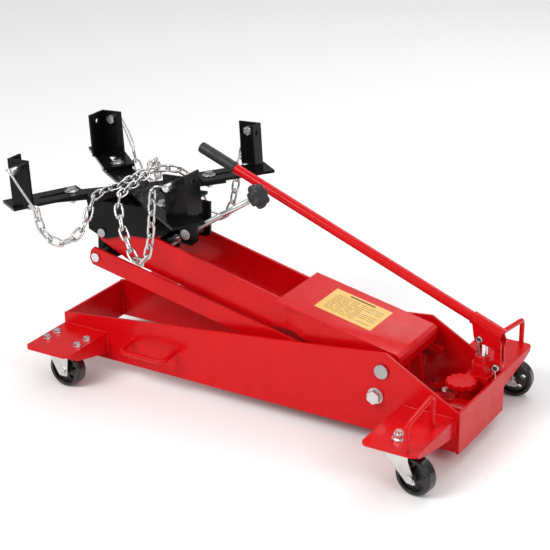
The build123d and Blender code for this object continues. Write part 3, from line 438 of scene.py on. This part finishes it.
def weld(name, start, end, radius, body, material, slot):
    """A weld bead with overlapping ripples."""
    start, end = Vector(start), Vector(end)
    length = (end - start).length
    count = max(6, int(length / 0.0009))
    points = [start.lerp(end, i / count) for i in range(count + 1)]
    ripple = 2 * pi * 0.0009 / 0.0042

    def radius_at(i):
        taper = min(1.0, 0.35 + min(i, count - i) * 0.22)
        return radius / 1000 * taper * (0.9 + 0.12 * abs(sin(i * ripple / 2)) + 0.04 * sin(i * 0.37))

    return add_mesh(name, *rings_to_mesh(sweep(points, radius_at, 10)), material, body, slot)


def ring(name, centre, axis, radius, thickness, material, body, slot="zinc_plate"):
    """A torus about an axis."""
    axis = Vector(axis).normalized()
    helper = Vector((0, 0, 1)) if abs(axis.z) < 0.8 else Vector((1, 0, 0))
    first = axis.cross(helper).normalized()
    second = axis.cross(first)
    points = [Vector(centre) + (first * cos(2 * pi * i / 28) + second * sin(2 * pi * i / 28)) * radius / 1000
              for i in range(28)]
    rings = sweep(points, lambda i: thickness / 1000, 10, closed=True)
    return add_mesh(name, *rings_to_mesh(rings, closed=True), material, body, slot)


# ---- welds ----
def add_welds():
    """Weld beads of the base frame and of the arm's cover."""
    for side, s in (("left", -1), ("right", 1)):
        y = s * 101.2
        edges = {
            "front_top": ((-899, y, 89.4), (-794, y, 89.4)),
            "rear_top": ((-117, y, 97.4), (-11, y, 97.4)),
            "rear_bracket_face": ((-8.6, y, 62), (-8.6, y, 95)),
            "front_bracket_face": ((-791.6, y, 46), (-791.6, y, 87)),
            "rear_corner": ((-5.2, s * 96, 34), (-5.2, s * 96, 108)),
            "front_corner": ((-895.8, s * 96, 33), (-895.8, s * 96, 109)),
        }
        for edge, (start, end) in edges.items():
            weld("weld_" + edge + "_" + side, place(*start), place(*end), 2.2, "base", RED, "red_paint")
        for index, (x, z) in enumerate(((-729, 86), (-624, 86))):
            ring(f"weld_carry_{side}_{index}", place(x, s * 101.3, z), (0, 1, 0), 5.2, 1.5, RED, "base",
                 "red_paint")
        for index, foot_y in enumerate((152, 257)):
            ring(f"weld_loop_{side}_{index}", place(-31, s * foot_y, 97.3), (0, 0, 1), 5.2, 1.5, RED, "base",
                 "red_paint")
        weld("weld_cover_" + side, on_arm(236, s * 60.3, 27.2), on_arm(200, s * 76, 27.2), 1.2,
             "lift_arm", RED, "red_paint")


def add_upright_welds():
    """Weld beads at the foot of each angle upright: its corner, and the length of its short leg."""
    corners = {
        "front_left": ((-163, -204), 36), "front_right": ((-201, 157), 50),
        "rear_right": ((166, 207), 31), "rear_left": ((212, -143), 50),
    }
    for name, ((x, y), leg) in corners.items():
        sx = 1 if x > 0 else -1
        sy = 1 if y > 0 else -1
        lift = 6 if name == "front_right" else 0
        inner_x, inner_y = x - sx * 5.2, y - sy * 5.2
        body = "saddle_bar_" + name
        weld("weld_long_" + name, on_saddle(x - sx * 47, inner_y, lift + 0.4),
             on_saddle(inner_x, inner_y, lift + 0.4), 1.8, body, BLACK, "black_paint")
        weld("weld_short_" + name, on_saddle(inner_x, inner_y, lift + 0.4),
             on_saddle(inner_x, y - sy * (leg - 3), lift + 0.4), 1.8, body, BLACK, "black_paint")


# ---- tilt screw ----
def add_tilt_screw():
    """Journal, rolled thread, then a plain shank up to the knob."""
    pitch, crest, root = 2.5, 6.0, 5.2
    sides = 40
    _, across, other = axes(SCREW_ANGLE, 1)
    thread_from, thread_to = 21.0, 152.0
    steps = int((thread_to - thread_from) / (pitch / 8))
    stations = [7.0, JOURNAL_END]
    stations += [thread_from + (thread_to - thread_from) * i / steps for i in range(steps + 1)]
    stations += [153.0, SHANK_END]
    rings = []
    for distance in stations:
        radii = []
        for j in range(sides):
            if distance <= JOURNAL_END:
                radius = 4.95
            elif distance < thread_to + 0.5:
                phase = (distance / pitch - j / sides) % 1.0
                height = min(1.0, max(0.0, 1.25 - abs(phase - 0.5) * 3.2))
                radius = root + (crest - root) * height
            else:
                radius = crest
            radii.append(radius)
        rings.append(round_section(on_screw(distance), across, other, radii))
    screw = add_mesh("threaded_screw", *rings_to_mesh(rings), ZINC, "tilt_screw", "zinc_plate")
    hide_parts("tilt_screw")


# ---- handle grip ----
def add_grip():
    """Dipped rubber grip with a rolled lip and a rounded end."""
    profile = [(-88, 10.2), (-87.6, 11.3), (-86.4, 11.9), (-84.8, 11.6), (-83.8, 11.2)]
    profile += [(-80, 11.3), (-40, 11.4), (-8, 11.5), (-3, 11.2), (-1, 10.2), (-0.2, 7.0), (0, 2.0)]
    sides = 40
    rings = []
    _, across, other = axes(HANDLE_ANGLE, -1)
    for offset, radius in profile:
        centre = on_handle(HANDLE_LENGTH + offset)
        rings.append(round_section(centre, across, other, [radius] * sides))
    grip = add_mesh("rubber_grip", *rings_to_mesh(rings), RUBBER, "handle", "grip_rubber")
    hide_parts("handle_grip")


# ---- star knob ----
def add_star_knob():
    """Seven-lobed knob with rolled edges and a domed front."""
    _, across, other = axes(SCREW_ANGLE, 1)
    sides = 112
    profile = [(-14, 0.0, 6.2), (-14, 0.0, 10.5), (-13, 0.0, 11.0), (-6.2, 0.0, 11.2), (-6, 0.0, 13.0),
               (-5.6, 0.75, 22.0), (-3.6, 1.0, 24.6), (0, 1.0, 25.2), (6, 1.0, 25.2), (10, 1.0, 24.6),
               (12.6, 0.85, 22.6), (13.4, 0.5, 18.0), (13.7, 0.2, 12.0), (13.9, 0.0, 7.0)]
    rings = []
    for offset, lobe, radius in profile:
        radii = []
        for j in range(sides):
            wave = cos(7 * 2 * pi * j / sides)
            radii.append(radius - lobe * 5.6 * (0.5 - 0.5 * wave) ** 1.4)
        rings.append(round_section(on_screw(KNOB_AT + offset), across, other, radii))
    knob = add_mesh("moulded_star_knob", *rings_to_mesh(rings), PLASTIC, "tilt_screw", "knob_plastic")
    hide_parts("star_knob")


# ---- label ----
def add_label():
    """Thin yellow film on the arm's cover, with rows of short bars for generic print."""
    u0, u1, y0, y1 = 65.0, 189.0, -40.5, 54.0
    top = COVER_TOP + 0.35

    def slab(name, ua, ub, ya, yb, low, high, material, slot):
        corners = [(ua, ya), (ub, ya), (ub, yb), (ua, yb)]
        points = [on_arm(u, y, h) for h in (low, high) for u, y in corners]
        faces = [(0, 1, 2, 3), (4, 5, 6, 7), (0, 1, 5, 4), (1, 2, 6, 5), (2, 3, 7, 6), (3, 0, 4, 7)]
        return add_mesh(name, points, faces, material, "lift_arm", slot, smooth=False)

    slab("cover_label", u0, u1, y0, y1, COVER_TOP + 0.05, top, LABEL, "red_paint")
    ink_low, ink_high = top - 0.02, top + 0.05
    slab("label_heading", u0 + 34, u1 - 34, y1 - 11, y1 - 6, ink_low, ink_high, INK, "black_paint")
    rows, row_pitch, margin = 9, 7.6, 9
    for row in range(rows):
        short_row = row % 4 == 3
        y = y1 - 20 - row * row_pitch
        right = u1 - margin
        left = u0 + (46 if short_row else margin)
        bars = 3 if short_row else 6
        width = (right - left) / bars
        for index in range(bars):
            gap = 1.2 + 1.1 * ((row * 5 + index * 3) % 4)
            start = left + index * width
            end = left + (index + 1) * width - gap
            slab(f"label_row_{row}_{index}", start, end, y - 1.0, y + 0.6, ink_low, ink_high, INK,
                 "black_paint")


# ---- clips and hooks ----
def add_clips():
    """Wire clips, rings and hooks between the chain pins and the chains."""
    # front left: ring clip through the pin's tip, and the long hairpin down to the chain
    tip = on_saddle(-136, -229, 80)
    ring("pin_ring_front_left", tip, (0.5, 0.2, 1), 9.4, 1.1, ZINC, "saddle_bar_front_left")
    hairpin = [on_saddle(*p) for p in ((-141, -229, 86), (-136, -231, 80), (-122, -233, 62),
                                       (-104, -233, 38), (-90, -232, 19), (-85, -230, 12),
                                       (-91, -229, 9), (-99, -230, 17))]
    wire("hairpin_front_left", hairpin, 2.2, ZINC, "saddle_bar_front_left")
    hook = [on_saddle(*p) for p in ((-104, -226, 7), (-94, -227, 9), (-84, -229, 11), (-80, -231, 6),
                                    (-82, -231, -3))]
    wire("s_hook_front_left", hook, 1.8, ZINC, "tilt_head")
    # rear left: pin with a short clip that ends in the chain
    tip = on_saddle(185, -168, 67)
    ring("pin_ring_rear_left", tip, (0.4, 0.3, 1), 9.2, 1.1, ZINC, "saddle_bar_rear_left")
    clip = [on_saddle(*p) for p in ((185, -171, 70), (172, -176, 72), (165, -178, 70), (161, -179, 64),
                                    (164, -178, 58), (168, -177, 60))]
    wire("clip_rear_left", clip, 1.5, ZINC, "tilt_head")
    # front right: a long wire loop that hangs behind the upright
    loop = [on_saddle(*p) for p in ((-176, 171, 92), (-172, 176, 84), (-160, 178, 62), (-148, 178, 38),
                                    (-141, 176, 22), (-137, 172, 14), (-142, 169, 20), (-152, 171, 42),
                                    (-165, 172, 68), (-172, 170, 86))]
    wire("loop_front_right", loop, 1.5, ZINC, "saddle_bar_front_right")
    # rear right: the chain's end loop under the bolt
    loop = [on_saddle(*p) for p in ((139, 226, 73), (135, 231, 68), (119, 232, 58), (113, 230, 49))]
    wire("loop_rear_right", loop, 1.6, ZINC, "tilt_head")


def add_pump_details():
    """Painted shade of the pump pins' recesses as dark blobs, retaining rings of the pins, a split pin, and
    rings on the barrel.
    """
    pins = (("plunger", -35.8, 186.6, "handle", 4.9), ("link", -1.0, 135.0, "base", 5.4))
    for name, x, z, body, radius in pins:
        ring("retaining_ring_" + name, place(x, PUMP_Y - 17.7, z), (0, 1, 0), radius, 1.3, ZINC, body)
        # a dark blob at each pin's end is painted shade standing in for its recess
        ring("painted_recess_shade_" + name, place(x, PUMP_Y - 17.6, z), (0, 1, 0), 1.9, 1.9, PLASTIC, body,
             "knob_plastic")
    split_pin = [place(*p) for p in ((-1, 56.5, 130), (-1, 56.0, 125), (0.5, 55.6, 119), (-0.5, 55.8, 114))]
    wire("split_pin", split_pin, 0.9, ZINC, "base")
    ring("barrel_shoulder", place(PLUNGER_X, PUMP_Y, 133), (0, 0, 1), 15.5, 1.6, RED, "base", "red_paint")
    ring("barrel_lip", place(PLUNGER_X, PUMP_Y, 147.4), (0, 0, 1), 13.4, 1.2, RED, "base", "red_paint")


def add_floor():
    """Pale studio floor, which isn't part of the jack."""
    mesh = bpy.data.meshes.new("floor")
    reach = FLOOR_HALF
    corners = [(-reach, -reach, 0), (reach, -reach, 0), (reach, reach, 0), (-reach, reach, 0)]
    mesh.from_pydata(corners, [], [(0, 1, 2, 3)])
    floor = bpy.data.objects.new("floor", mesh)
    material = bpy.data.materials.new("floor_paper")
    material.use_nodes = True
    shader = material.node_tree.nodes["Principled BSDF"]
    shader.inputs["Base Color"].default_value = (0.93, 0.93, 0.93, 1)
    shader.inputs["Roughness"].default_value = 0.9
    mesh.materials.append(material)
    SCENE.collection.objects.link(floor)


add_camera()
add_world()
add_light("key", (-1.0, -2.6, 2.6), 1.8, 74)
add_light("fill", (2.8, -1.0, 1.8), 1.4, 22)
add_light("back", (0.3, 2.4, 2.6), 2.2, 30)
paint_nodes()
add_welds()
add_upright_welds()
add_tilt_screw()
add_grip()
add_star_knob()
add_label()
add_clips()
add_pump_details()
add_floor()
SCENE.view_settings.view_transform = "Standard"
